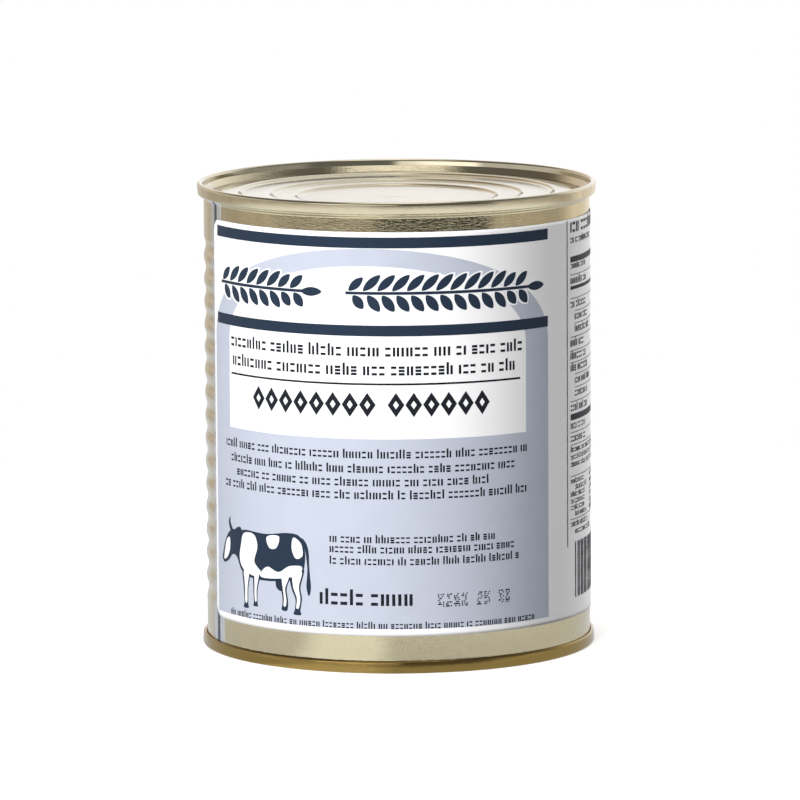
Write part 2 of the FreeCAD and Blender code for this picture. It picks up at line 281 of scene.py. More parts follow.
def turned(profile, segments, poles):
    """Points and faces of a (radius, height) profile turned about Z.

    A profile without poles closes on itself.  One with poles starts and ends on the axis, where
    the first and last rows are single points.
    """
    angle = FULL_TURN * np.arange(segments) / segments
    rings = profile[1:-1] if poles else profile
    points = wrapped(rings[:, :1], angle[None, :], rings[:, 1:]).reshape(-1, 3)
    faces = grid_faces(len(rings), segments, close_rows=not poles, close_columns=True)
    if not poles:
        return points, [faces]
    ends = np.array([[0, 0, profile[0, 1]], [0, 0, profile[-1, 1]]])
    around = np.arange(segments)
    following = np.roll(around, -1)
    last = (len(rings) - 1) * segments
    count = len(points)
    near = np.stack([np.full(segments, count), following, around], axis=1)
    far = np.stack([np.full(segments, count + 1), last + around, last + following], axis=1)
    return np.vstack([points, ends]), [faces, near, far]


# ------------------------------------------------------------------ tinplate body and ends


def s_bend(radius, step, turn):
    """Two equal arcs that shift a line sideways by a step: 2 r (1 - cos a) = step.

    The first arc turns left for a turn of 1 and right for -1.  Returns the steps and the length
    they cover, 2 r sin a.
    """
    angle = math.acos(1 - step / (2 * radius))
    return [(radius * angle, turn * angle), (radius * angle, -turn * angle)], 2 * radius * math.sin(angle)


def end_profile(can, seam_radius):
    """Air side of a pressed end, then its inner side back to the axis, as (radius, height).

    Heights are counted from the rim, so the centre panel's is the most negative.  Each expansion
    ring and the gutter's edge is a step made of two equal arcs.
    """
    lean = can.seam_lean
    risen = (can.gutter_bend + can.seam_corner) * (1 - math.sin(lean))
    chuck_run = (can.countersink_depth - risen) / math.cos(lean)
    flat = can.seam_thickness - 2 * can.seam_corner
    reach = can.seam_corner * (1 + math.cos(lean)) + flat + chuck_run * math.sin(lean)
    gutter_end = seam_radius - reach - can.gutter_bend * math.cos(lean)
    edge = seam_radius - can.seam_thickness - can.gutter_width
    rings = [edge - can.outer_land]
    rings.append(rings[-1] - can.middle_land)
    rings.append(rings[-1] - can.inner_land)
    start = (0, -can.panel_depth - len(rings) * can.ring_step)
    bend, run = s_bend(can.ring_bend, can.ring_step, 1)
    steps = []
    reached = 0
    for ring in reversed(rings):
        steps += [(ring - run / 2 - reached, 0)] + bend
        reached = ring + run / 2
    drop, run = s_bend(can.ring_bend, can.countersink_depth - can.panel_depth, -1)
    steps += [(edge - run / 2 - reached, 0)] + drop
    wall_run = (can.seam_length - can.curl_radius - can.seam_corner) / math.cos(lean)
    steps += [
        (gutter_end - edge - run / 2, 0),
        (can.gutter_bend * (QUARTER_TURN - lean), QUARTER_TURN - lean),
        (chuck_run, 0),
        (can.seam_corner * (QUARTER_TURN - lean), lean - QUARTER_TURN),
        (flat, 0),
        (can.seam_corner * (QUARTER_TURN + lean), -QUARTER_TURN - lean),
        (wall_run, 0),
        (can.curl_radius * (math.pi - lean), lean - math.pi),
        (wall_run - can.end_sheet, 0),
    ]
    air, normal = walk(start, 0, steps)
    return np.vstack([air, (air - normal * can.end_sheet)[::-1]])


def build_ends(can):
    """Both pressed ends as closed turned sheets."""
    for name, node, side in (("top_end_shell", "top_end", 1), ("bottom_end_shell", "bottom_end", -1)):
        low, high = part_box(node)
        profile = end_profile(can, high.x)
        profile[:, 1] = (high.z if side > 0 else low.z) + side * profile[:, 1]
        points, faces = turned(profile, END_SEGMENTS, poles=True)
        # the bottom end gets the darkened colour, painted shade for the shadowed floor just below its seam
        colour = can.top_colour if side > 0 else can.bottom_shaded_colour
        finish = tinplate("Tinplate " + name, colour, waviness=0.15)
        make_piece(name, points, faces, finish, (node,))


def wall_steps(can, height, top_face, bottom_face):
    """Runs and arcs of the outer wall from inside the top seam down into the bottom seam.

    The beads are arcs of one radius, p ** 2 / (16 d) + d / 4 for a pitch p and a depth d, and
    they pass into each other where they lean most, at the arc sine of p / 4 over that radius.
    """
    grooves = int((height - can.plain_top - can.plain_bottom) / can.bead_pitch)
    arc = can.bead_pitch ** 2 / (16 * can.bead_depth) + can.bead_depth / 4
    lean = math.asin(can.bead_pitch / 4 / arc)
    shoulder = arc * (can.bead_depth / 2 - can.bead_stand) * 2 / can.bead_depth
    shoulder_run = shoulder * math.sin(lean)
    hidden = can.seam_length / 2
    top_bend, top_run = s_bend(can.flare_radius, top_face - can.wall_radius, -1)
    bottom_bend, bottom_run = s_bend(can.flare_radius, bottom_face - can.wall_radius, 1)
    beads_top = can.plain_bottom + (grooves - 0.25) * can.bead_pitch
    beads_bottom = can.plain_bottom + 0.25 * can.bead_pitch
    foot = can.seam_length + can.curl_radius / 4
    steps = [(hidden, 0), (can.curl_radius / 4, 0)] + top_bend
    steps += [(height - foot - top_run - beads_top - shoulder_run, 0), (shoulder * lean, -lean)]
    for groove in range(grooves, 0, -1):
        steps += [(2 * arc * lean, 2 * lean)]
        steps += [(2 * arc * lean, -2 * lean)] if groove > 1 else []
    steps += [(shoulder * lean, -lean), (beads_bottom - shoulder_run - foot - bottom_run, 0)]
    steps += bottom_bend + [(can.curl_radius / 4, 0), (hidden, 0)]
    return steps


def build_wall(can):
    """The beaded wall, its bare margin and its weld."""
    height = CAD_BOX[1].z
    top_face = can.wall_radius + can.top_flare
    bottom_face = can.wall_radius + can.bottom_flare
    steps = wall_steps(can, height, top_face, bottom_face)
    outer, normal = walk((top_face, height - can.seam_length / 2), -QUARTER_TURN, steps)
    back_radius = can.wall_radius - can.bead_depth - can.body_sheet
    back = np.stack([np.full(5, back_radius), np.linspace(outer[-1, 1], outer[0, 1], 5)], axis=1)
    points, faces = turned(np.vstack([outer, back]), WALL_SEGMENTS, poles=False)
    make_piece("body_wall", points, faces, tinplate("Tinplate body", can.lacquer_colour, waviness=1.0),
               ("can_body",))
    margin = metal("Tinplate bare", can.bare_colour)
    weld = metal("Weld", can.weld_colour)
    # each band's name, width, points across and how far it stands out
    for name, width, columns, lift, material in (("bare_margin", can.bare_width, 9, 0.02 * MM, margin),
                                                 ("weld_line", can.weld_width, 5, 0.09 * MM, weld)):
        half = width / 2 / can.wall_radius
        angle = np.linspace(-half, half, columns) + can.weld_azimuth
        band_on_wall(name, outer, normal, angle, lift, material)


def band_on_wall(name, outer, normal, angle, lift, material):
    """A thin raised band up the wall, following its profile: closed, and rounded across.

    At u from -1 to 1 across the band it stands out by lift * (edge + (1 - edge) sqrt(1 - u ** 4)).
    """
    edge = 0.15
    sunk = 0.05 * MM
    across = np.sqrt(np.clip(1 - np.linspace(-1, 1, len(angle)) ** 4, 0, 1))
    rise = lift * (edge + (1 - edge) * across)
    top = outer[:, None, :] + normal[:, None, :] * rise[None, :, None]
    low = outer[:, None, :] - normal[:, None, :] * sunk
    low = np.repeat(low, len(angle), axis=1)
    loop = np.concatenate([top, low[:, ::-1]], axis=1)
    around = np.concatenate([angle, angle[::-1]])
    points = wrapped(loop[..., 0], around[None, :], loop[..., 1])
    rows, columns = points.shape[:2]
    faces = grid_faces(rows, columns, close_columns=True)
    lids = np.array([np.arange(columns), (rows - 1) * columns + np.arange(columns)[::-1]])
    make_piece(name, points.reshape(-1, 3), [faces, lids], material)


# ------------------------------------------------------------------ paper and print


def paper_radius(label, across, height):
    """Outside of the paper: its largest radius, less a faint ripple that follows the beads.

    The ripple is half a cosine of the height over the bead pitch, strongest away from the paper's
    ends, and varied slowly round the can so that it doesn't look drawn.
    """
    low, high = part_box("label")
    pitch = bpy.context.scene.food_can.bead_pitch
    start = bpy.context.scene.food_can.plain_bottom
    wave = 0.5 - 0.5 * np.cos(FULL_TURN * (height - start) / pitch)
    slow = 0.6 + 0.4 * np.sin(across / (7 * MM)) * np.sin(height / (16 * MM) + across / (23 * MM))
    fade = 6 * MM
    margin = np.clip(np.minimum(height - low.z, high.z - height) / fade, 0, 1)
    return high.x - label.ripple * wave * slow * margin


class Print:
    """Closed slabs of one ink on the paper, gathered into a single mesh.

    Places on the paper are pairs (across, height): across is the length round the can from the
    front, positive towards +X.
    """

    def __init__(self, label, lift, depth=INK_DEPTH):
        self.label = label
        self.lift = lift
        self.depth = depth
        self.points = []
        self.faces = {}
        self.count = 0

    def keep(self, points, faces):
        """Add points and faces, renumbered after those already there."""
        self.points.append(points.reshape(-1, 3))
        for group in faces:
            self.faces.setdefault(group.shape[1], []).append(group + self.count)
        self.count += len(self.points[-1])

    def both_sides(self, across, height):
        """Points on top of the ink, and the points under them on its underside."""
        radius = paper_radius(self.label, across, height)
        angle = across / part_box("label")[1].x
        return [wrapped(radius + lift, angle, height) for lift in (self.lift, self.lift - self.depth)]

    def ribbon(self, left, right, rows=1):
        """A slab between two chains of (across, height) points of equal count."""
        left, right = np.asarray(left, float), np.asarray(right, float)
        t = np.linspace(0, 1, rows + 1)[:, None, None]
        flat = left[None] * (1 - t) + right[None] * t
        top, under = self.both_sides(flat[..., 0], flat[..., 1])
        loop = np.concatenate([top, under[::-1]], axis=0)
        rows, columns = loop.shape[:2]
        faces = grid_faces(rows, columns, close_rows=True)
        index = np.arange(rows * columns).reshape(rows, columns)
        half = rows // 2
        caps = []
        for column, turn in ((0, 1), (columns - 1, -1)):
            upper, lower = index[:half, column], index[half:, column][::-1]
            caps.append(np.stack([upper[:-1], upper[1:], lower[1:], lower[:-1]], axis=1)[:, ::turn])
        self.keep(loop, [faces] + caps)

    def bar(self, left, right, low, high):
        """A level bar, cut into short lengths so that it follows the curve."""
        count = max(1, math.ceil((right - left) / INK_CELL))
        across = np.linspace(left, right, count + 1)
        rows = max(1, math.ceil((high - low) / INK_CELL))
        self.ribbon(np.stack([across, np.full(count + 1, low)], axis=1),
                    np.stack([across, np.full(count + 1, high)], axis=1), rows)

    def blocks(self, left, right, low, high):
        """Many small upright blocks at once, from arrays of their edges."""
        left, right, low, high = (np.asarray(edge, float) for edge in (left, right, low, high))
        across = np.stack([left, right, right, left], axis=1)
        height = np.stack([low, low, high, high], axis=1)
        points = np.concatenate(self.both_sides(across, height), axis=1)
        base = np.arange(len(left))[:, None] * 8
        quads = [(0, 1, 2, 3), (7, 6, 5, 4), (0, 4, 5, 1), (1, 5, 6, 2), (2, 6, 7, 3), (3, 7, 4, 0)]
        faces = np.concatenate([base + np.array(quad)[None] for quad in quads])
        self.keep(points, [faces])

    def patch(self, outline):
        """A slab with any outline, a closed chain of (across, height) points.

        The inside is filled with triangles over a lattice, so that it follows the curve of the can.
        """
        outline = np.asarray(outline, float)
        low, high = outline.min(axis=0), outline.max(axis=0)
        columns, rows = (np.arange(a + INK_CELL / 2, b, INK_CELL) for a, b in zip(low, high))
        lattice = np.stack(np.meshgrid(columns, rows), axis=-1).reshape(-1, 2)
        flat = [Vector(point) for point in np.vstack([outline, lattice]) / MM]
        inside_only, tolerance = 1, 1e-5
        found = delaunay_2d_cdt(flat, [], [list(range(len(outline)))], inside_only, tolerance)
        flat = np.array([point[:] for point in found[0]]) * MM
        faces = np.array([face[:3] for face in found[2]])
        used, faces = np.unique(faces, return_inverse=True)
        faces = faces.reshape(-1, 3)
        flat = flat[used]
        edges = np.concatenate([faces[:, [0, 1]], faces[:, [1, 2]], faces[:, [2, 0]]])
        one_way = set(map(tuple, edges.tolist()))
        rim = np.array([edge for edge in edges.tolist() if (edge[1], edge[0]) not in one_way])
        count = len(flat)
        sides = np.stack([rim[:, 1], rim[:, 0], rim[:, 0] + count, rim[:, 1] + count], axis=1)
        points = np.concatenate(self.both_sides(flat[:, 0], flat[:, 1]))
        self.keep(points, [faces, faces[:, ::-1] + count, sides])

    def finish(self, name, material, replaced=(), smooth=False):
        """Make the piece."""
        groups = [np.concatenate(group) for group in self.faces.values()]
        make_piece(name, np.concatenate(self.points), groups, material, replaced, smooth)


def arch(centre, half_width, half_height, count=97):
    """Points over the upper half of an ellipse: centre + (a cos t, b sin t), t from 0 to a half turn."""
    t = np.linspace(0, math.pi, count)
    return np.array(centre) + np.stack([half_width * np.cos(t), half_height * np.sin(t)], axis=1)


def marks(ink, rng, left, right, base, height):
    """A line of plain marks in groups as long as words, none of them a letter.

    A mark is one upright, two uprights, or two or three level dashes above each other.  A lone or
    first upright stands taller three times in ten.
    """
    stroke = 0.27 * height
    widths = (stroke, 2.6 * stroke, 2.2 * stroke, 2.4 * stroke)
    gap, space = 0.9 * stroke, 1.7 * stroke
    taller = 1.36
    edges = []
    across = left
    while across < right - height:
        for _ in range(rng.integers(2, 9)):
            kind = rng.choice(4, p=[0.3, 0.25, 0.35, 0.1])
            width = widths[kind]
            top = base + height * (taller if rng.random() < 0.3 else 1.0)
            if across + width > right:
                break
            if kind < 2:
                edges.append((across, across + stroke, base, top))
                if kind == 1:
                    edges.append((across + width - stroke, across + width, base, base + height))
            else:
                for level in np.linspace(0, height - stroke, kind):
                    edges.append((across, across + width, base + level, base + level + stroke))
            across += width + gap
        across += space
    ink.blocks(*np.array(edges).T)


def lozenge(centre, half_width, half_height):
    """Outline of an upright lozenge."""
    corner = np.array([(half_width, 0), (0, half_height), (-half_width, 0), (0, -half_height)])
    t = np.linspace(0, 1, 5)[:-1, None]
    sides = [corner[n] * (1 - t) + corner[(n + 1) % 4] * t for n in range(4)]
    return np.array(centre) + np.concatenate(sides)


def lozenges(ink, paper_ink, left, right, low, high, stroke, counts):
    """A row of framed lozenges in groups, each with a small solid one in its middle."""
    gap = 2.4 * stroke
    core = 0.42
    pitch = (right - left - gap * (len(counts) - 1)) / sum(counts)
    middle, reach = (low + high) / 2, (high - low) / 2
    across = left + pitch / 2
    for count in counts:
        for _ in range(count):
            centre = (across, middle)
            half = pitch / 2 - 0.1 * stroke
            inner = 1 - stroke * math.hypot(half, reach) / (half * reach)
            ink.patch(lozenge(centre, half, reach))
            paper_ink.patch(lozenge(centre, half * inner, reach * inner))
            ink.patch(lozenge(centre, half * inner * core, reach * inner * core))
            across += pitch
        across += gap


def grain(base, angle, reach, width, slant):
    """Outline of a pointed grain.

    Half its width is (w / 2) sin(pi t) ** 0.7 at fraction t of its length, and the whole is
    sheared sideways by the slant.
    """
    t = np.linspace(0, 1, 17)
    half = width / 2 * np.sin(np.pi * t) ** 0.7
    along = np.concatenate([t, t[-2:0:-1]]) * reach
    side = np.concatenate([half, -half[-2:0:-1]])
    x = along * math.cos(angle) - side * math.sin(angle)
    y = along * math.sin(angle) + side * math.cos(angle)
    return np.stack([base[0] + x + slant * y, base[1] + y], axis=1)


def ear(ink, left, right, middle, grown):
    """A lying ear of corn: a stalk with slanted grains above and below it, and one at its tip.

    Everything is wider by the grown amount on each side, for the pale edge round it.
    """
    pitch = 3.7 * MM
    slant = 0.16
    tip = right - 6.0 * MM
    ink.bar(left - grown, tip + 1 * MM, middle - 0.38 * MM - grown, middle + 0.38 * MM + grown)
    count = int((tip - left) / pitch)
    for number in range(count):
        base = left + 0.8 * MM + number * pitch
        size = 1.0 if 0 < number < count - 2 else 0.84
        for side in (-1, 1):
            behind = 0.3 * pitch if side < 0 else 0
            start = (base - grown * 0.8 + behind, middle + side * (0.55 * MM - grown))
            reach = 5.6 * MM * size + 2.2 * grown
            ink.patch(grain(start, side * math.radians(47), reach, 2.35 * MM + 2 * grown, slant))
    ink.patch(grain((tip - grown, middle), 0, 6.0 * MM + 2.2 * grown, 2.3 * MM + 2 * grown, slant))


def blob(points):
    """A smooth closed curve through a few points, in millimetres (Catmull-Rom)."""
    per_side = 6
    before, here, after, beyond = (np.roll(points, shift, axis=0) for shift in (1, 0, -1, -2))
    t = np.arange(per_side)[:, None, None] / per_side
    curve = 0.5 * (2 * here + (after - before) * t + (2 * before - 5 * here + 4 * after - beyond) * t ** 2
                   + (3 * here - before - 3 * after + beyond) * t ** 3)
    return curve.transpose(1, 0, 2).reshape(-1, 2)


# A plain standing cow seen from its left side, head to the left, in a box 34 wide and 23 high.
COW = [
    # trunk, neck and head
    [(31.0, 20.2), (32.4, 16.5), (32.0, 12.0), (30.5, 9.6), (24.0, 8.2), (15.5, 8.0), (10.8, 9.4),
     (8.6, 12.6), (6.6, 13.2), (4.4, 11.4), (2.2, 10.6), (1.0, 11.6), (1.6, 14.0), (3.6, 17.6),
     (6.2, 19.6), (9.2, 19.6), (12.5, 20.2), (20.0, 20.0), (27.0, 20.9)],
    # legs: two at the front, two behind
    [(11.0, 10.5), (14.2, 10.2), (13.4, 5.5), (13.3, 1.4), (13.4, 0.2), (11.4, 0.2), (11.7, 1.6),
     (11.4, 5.5)],
    [(15.4, 10.0), (18.0, 9.6), (17.0, 5.6), (16.9, 2.0), (17.0, 1.0), (15.3, 1.0), (15.5, 2.2),
     (15.3, 5.8)],
    [(27.8, 11.0), (32.0, 12.0), (31.0, 7.4), (31.4, 4.2), (30.9, 1.4), (31.1, 0.2), (28.9, 0.2),
     (29.3, 1.6), (29.4, 4.2), (28.2, 7.0)],
    [(24.6, 10.2), (28.0, 10.2), (26.8, 6.6), (27.2, 3.6), (26.9, 1.0), (25.2, 1.0), (25.4, 2.4),
     (25.4, 4.4)],
    # tail
    [(31.4, 20.0), (33.2, 17.6), (33.6, 12.0), (34.0, 7.4), (33.4, 5.2), (32.7, 7.4), (33.0, 12.0),
     (32.4, 16.8)],
    # ear and horn
    [(6.8, 19.0), (9.2, 20.6), (10.6, 20.2), (9.6, 18.6), (7.8, 18.0)],
    [(5.4, 19.2), (4.6, 21.4), (5.4, 22.8), (5.6, 21.2), (6.6, 19.6)],
    # udder
    [(23.6, 8.8), (26.4, 8.4), (26.2, 6.4), (24.8, 5.8), (23.4, 6.8)],
]
COW_PATCHES = [
    # shoulder, belly, loin and rump
    [(11.6, 19.2), (15.6, 19.4), (17.0, 16.4), (15.8, 12.4), (18.2, 10.0), (16.0, 8.7), (11.6, 9.9),
     (9.8, 12.6), (10.4, 16.0)],
    [(18.0, 8.9), (20.4, 11.6), (24.2, 10.6), (27.6, 12.4), (31.3, 12.6), (30.2, 10.3), (24.0, 8.9)],
    [(20.4, 19.3), (24.4, 19.8), (23.6, 16.8), (21.2, 16.6)],
    [(29.0, 19.9), (31.2, 18.4), (31.6, 15.4), (29.6, 14.6), (28.4, 17.2)],
    # blaze
    [(3.4, 16.4), (5.0, 17.4), (5.2, 14.6), (3.8, 12.2), (2.0, 11.4), (2.2, 13.2)],
    # legs above the hooves
    [(11.6, 9.6), (13.6, 9.4), (13.0, 5.5), (12.9, 1.8), (12.1, 1.8), (12.0, 5.6)],
    [(15.9, 9.2), (17.4, 9.0), (16.6, 5.6), (16.5, 2.4), (15.9, 2.5), (15.8, 5.8)],
    [(28.7, 10.6), (31.4, 11.2), (30.5, 7.4), (30.9, 4.2), (30.4, 1.9), (29.7, 2.0), (29.9, 4.4),
     (28.8, 7.2)],
    [(25.3, 9.4), (27.4, 9.4), (26.3, 6.6), (26.7, 3.6), (26.4, 2.0), (25.8, 2.2), (25.9, 4.4)],
]


def build_paper(label):
    """The paper: a closed sheet round the can with rounded corners.

    At a distance s from its side edge, less than the corner r, each of the paper's ends is cut
    back by r - sqrt(r ** 2 - (r - s) ** 2).
    """
    low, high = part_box("label")
    radius = high.x
    left = label.left_edge * radius
    right = left + (FULL_TURN * radius - label.bare_strip)
    edge = label.corner * (1 - np.cos(np.linspace(0, QUARTER_TURN, 9)))
    middle = np.linspace(left + label.corner, right - label.corner, PAPER_SEGMENTS)[1:-1]
    across = np.concatenate([left + edge, middle, right - edge[::-1]])
    inside = np.minimum(across - left, right - across).clip(0, label.corner)
    cut = label.corner - np.sqrt(np.clip(label.corner ** 2 - (label.corner - inside) ** 2, 0, None))
    sheet = Print(label, 0, label.sheet)
    foot = np.stack([across, low.z + cut], axis=1)
    head = np.stack([across, high.z - cut], axis=1)
    sheet.ribbon(foot, head, PAPER_ROWS)
    sheet.finish("label_sheet", paper("Paper", label.paper_colour), ("label",), smooth=True)


def build_print(label):
    """Everything printed on the paper, one piece for each ink and layer.

    The places are in degrees round the can and millimetres up it; a degree is its length along
    the paper here.
    """
    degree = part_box("label")[1].x * math.pi / 180
    rng = np.random.default_rng(7)
    navy = ink_material("Ink navy", label.navy_colour)
    grey = ink_material("Ink grey", label.grey_colour)
    black = ink_material("Ink black", label.black_colour)
    white = paper("Ink white", label.paper_colour)

    band = Print(label, BAND_LIFT)
    for left, right, low, high in ((-67.7, 50.1, 11.3, 59.8), (-67.7, -58.9, 59.8, 82.8),
                                   (40.7, 50.1, 59.8, 82.8)):
        band.bar(left * degree, right * degree, low * MM, high * MM)
    outer = arch((-8.8 * degree, 82.8 * MM), 51.2 * MM, 25.25 * MM)
    inner = arch((-9.1 * degree, 82.8 * MM), 43.3 * MM, 20.8 * MM)
    band.ribbon(outer, inner, rows=8)
    band.finish("print_band", grey)

    halo = Print(label, HALO_LIFT)
    bars = Print(label, INK_LIFT)
    for low, high in ((108.15, 110.9), (85.9, 88.65)):
        bars.bar(-66.4 * degree, 50 * degree, low * MM, high * MM)
    halo_width = 0.55 * MM
    for left, right in ((-63.5, -22.3), (-15.1, 48.2)):
        for ink, grown in ((halo, halo_width), (bars, 0)):
            ear(ink, left * degree, right * degree, 96.8 * MM, grown)
    for outline in COW:
        bars.patch(cow_place(degree, blob(outline)))
    bars.finish("print_navy", navy)

    text = Print(label, INK_LIFT)
    inside = Print(label, INSIDE_LIFT)
    for outline in COW_PATCHES:
        inside.patch(cow_place(degree, blob(outline)))
    lozenges(text, inside, -47.5 * degree, 27.9 * degree, 65.4 * MM, 71.6 * MM, 1.15 * MM, (8, 6))
    # each line's height up the can, its two ends in degrees, and the height of its marks
    lines = ((80.8, -57.8, 40.4, 2.3), (76.0, -57.0, 38.4, 2.3), (54.9, -61.2, 41.5, 1.7),
             (51.2, -58.2, 36.4, 1.7), (47.8, -55.2, 30.3, 1.7), (44.5, -61.7, 42.5, 1.7),
             (33.3, -20.4, 30.3, 1.55), (30.7, -20.4, 36.4, 1.55), (27.7, -20.4, 39.1, 1.55),
             (17.3, -23.6, 5.6, 3), (11.4, -59.2, 44.3, 1.3))
    for height, left, right, size in lines:
        marks(text, rng, left * degree, right * degree, height * MM, size * MM)
    text.bar(-57.8 * degree, 38.5 * degree, 73.5 * MM, 74.0 * MM)
    dots(text, rng, 11.5 * degree, 35.3 * degree, 16.8 * MM, 20.3 * MM)
    table(text, rng, degree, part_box("label")[1].z)
    text.finish("print_black", black)
    halo.finish("print_halo", white)
    inside.finish("print_inside", white)


def cow_place(degree, outline):
    """A cow outline in millimetres, set at its place on the paper."""
    return np.array([-65.5 * degree, 13.8 * MM]) + outline * MM


def dots(ink, rng, left, right, low, high):
    """A dotted field: cells of five by seven dots, about half of them there, in three groups."""
    pitch = (high - low) / 7
    size = 0.72 * pitch
    share = 0.48
    cell = (right - left) / 10
    for number in (0, 1, 2, 3, 5, 6, 8, 9):
        column, row = np.nonzero(rng.random((5, 7)) < share)
        across = left + number * cell + column * (cell / 6.6)
        height = low + row * pitch
        ink.blocks(across, across + size, height, height + size)


def table(ink, rng, degree, top):
    """The ruled panel on the right: headings, rows of marks between rules, and upright stripes."""
    left, right = 62.4 * degree, 112 * degree
    inset = left + 2.6 * MM
    ink.bar(60.1 * degree, 60.5 * degree, 27.9 * MM, top - 0.3 * MM)
    for low, high in ((101.0, 102.5), (94.0, 94.9), (60.4, 62.0)):
        ink.bar(left, right, low * MM, high * MM)
    half_rule = 0.09
    rules = [(97.8, left), (91.7, left), (88.4, inset), (85.2, inset), (81.8, left), (78.3, left),
             (75.2, left), (72.1, inset), (68.7, inset), (65.2, left), (57.2, left), (54.0, left),
             (45.9, left), (34.8, left)]
    for height, start in rules:
        ink.bar(start, right, (height - half_rule) * MM, (height + half_rule) * MM)
    for height, run, size in ((108.7, 24, 2.6), (106.0, 17, 1.3)):
        marks(ink, rng, left, left + run * MM, height * MM, size * MM)
    rows = [(99.4, left, 1.2), (95.5, left, 1.4), (89.4, left, 1.5), (86.2, inset, 1.4), (83.0, inset, 1.4),
            (79.4, left, 1.6), (76.1, left, 1.6), (73.0, left, 1.6), (69.8, inset, 1.4), (66.5, inset, 1.4),
            (62.8, left, 1.5), (58.2, left, 1.4), (54.9, left, 1.4)]
    for height, start, size in rows:
        marks(ink, rng, start, start + rng.uniform(9, 14) * MM, height * MM, size * MM)
        marks(ink, rng, right - 6 * MM, right, height * MM, size * MM)
    small = 1.0 * MM
    for number in range(3):
        marks(ink, rng, left, right - 3 * MM, (52.2 - 1.9 * number) * MM, small)
    for number in range(6):
        start = inset if number in (1, 5) else left
        height = (44.1 - 1.72 * number) * MM
        marks(ink, rng, start, start + 10 * MM, height, small)
        marks(ink, rng, left + 16 * MM, right, height, small)
    for height, start in ((32.9, left), (30.9, inset)):
        marks(ink, rng, start, start + 14 * MM, height * MM, 1.1 * MM)
    stripes = 30
    widths = rng.choice([0.33, 0.66, 0.99], 2 * stripes) * MM
    edges = 64.9 * degree + np.cumsum(widths)
    ink.blocks(edges[:-1:2], edges[1::2], np.full(stripes, 14.4 * MM), np.full(stripes, 28.8 * MM))


# ------------------------------------------------------------------ materials


class Number:
    """A number in a node tree: arithmetic on it makes Math nodes."""

    def __init__(self, nodes, socket):
        self.nodes = nodes
        self.socket = socket

    def math(self, operation, *values):
        """The result of one Math node."""
        node = self.nodes.add("ShaderNodeMath", dict(enumerate(values)), operation=operation)
        return Number(self.nodes, node.outputs[0])

    def __add__(self, other):
        return self.math("ADD", self, other)

    def __radd__(self, other):
        return self.math("ADD", other, self)

    def __sub__(self, other):
        return self.math("SUBTRACT", self, other)

    def __rsub__(self, other):
        return self.math("SUBTRACT", other, self)

    def __mul__(self, other):
        return self.math("MULTIPLY", self, other)

    def __rmul__(self, other):
        return self.math("MULTIPLY", other, self)

    def __pow__(self, other):
        return self.math("POWER", self, other)

    def angle_to(self, other):
        """The angle whose sine and cosine are in proportion to this number and the other."""
        return self.math("ARCTAN2", self, other)

    def between(self, low, high):
        """0 below the low value, 1 above the high one, and smooth between them."""
        node = self.nodes.add("ShaderNodeMapRange", {0: self, 1: low, 2: high},
                              interpolation_type="SMOOTHSTEP")
        return Number(self.nodes, node.outputs[0])

    def band(self, low, full, still_full, high):
        """0 below the low value and above the high one, 1 from full to still full, smooth between."""
        return self.between(low, full) * (1 - self.between(still_full, high))


class Nodes:
    """Makes and joins the nodes of one material or world."""

    def __init__(self, tree):
        self.tree = tree
        tree.nodes.clear()

    def add(self, kind, inputs, **settings):
        """A node with its settings made and its inputs set or linked."""
        node = self.tree.nodes.new(kind)
        for name, value in settings.items():
            setattr(node, name, value)
        for key, value in inputs.items():
            if isinstance(value, Number):
                value = value.socket
            if isinstance(value, bpy.types.NodeSocket):
                self.tree.links.new(value, node.inputs[key])
            else:
                node.inputs[key].default_value = value
        return node

    def place(self, kind="Object"):
        """The point being shaded, in metres, or a direction, as a vector and its three numbers."""
        vector = self.add("ShaderNodeTexCoord", {}).outputs[kind]
        parts = self.add("ShaderNodeSeparateXYZ", {0: vector}).outputs
        return vector, [Number(self, part) for part in parts]

    def vector(self, x, y, z):
        """Three numbers as a vector."""
        return self.add("ShaderNodeCombineXYZ", {0: x, 1: y, 2: z}).outputs[0]

    def noise(self, vector, size, detail=2.0, roughness=0.5):
        """Smooth noise from 0 to 1 with features about as large as the size in metres."""
        inputs = {"Vector": vector, "Scale": 1 / size, "Detail": detail, "Roughness": roughness}
        return Number(self, self.add("ShaderNodeTexNoise", inputs).outputs[0])

    def mix(self, first, second, factor):
        """A blend of two colours."""
        return self.add("ShaderNodeMix", {0: factor, 6: first, 7: second}, data_type="RGBA").outputs[2]

    def bump(self, height):
        """A normal bent by a height in metres."""
        inputs = {"Height": height, "Strength": 1.0, "Distance": 1.0}
        return self.add("ShaderNodeBump", inputs).outputs[0]

    def shine(self, kind, colour, strength):
        """Plain light of one kind: a glowing surface, or a world's background."""
        return self.add(kind, {"Color": colour, "Strength": strength}).outputs[0]

    def blend(self, first, second, factor):
        """One shader passing over into another."""
        return self.add("ShaderNodeMixShader", {0: factor, 1: first, 2: second}).outputs[0]

    def by_ray(self, seen, mirrored, others):
        """One shader for the camera, one for what gloss mirrors, and one for all other light."""
        path = self.add("ShaderNodeLightPath", {}).outputs
        unseen = self.blend(others, mirrored, path["Is Glossy Ray"])
        return self.blend(unseen, seen, path["Is Camera Ray"])

    def surface(self, **inputs):
        """Finish with a Principled surface."""
        named = {key.replace("_", " "): value for key, value in inputs.items()}
        shader = self.add("ShaderNodeBsdfPrincipled", named)
        self.add("ShaderNodeOutputMaterial", {0: shader.outputs[0]})


def rgba(colour, gain):
    """A colour with its brightness changed, and full opacity."""
    return [min(1.0, channel * gain) for channel in colour] + [1.0]


def new_material(name):
    """An empty material and its nodes."""
    material = bpy.data.materials.new(name)
    material.use_nodes = True
    return material, Nodes(material.node_tree)


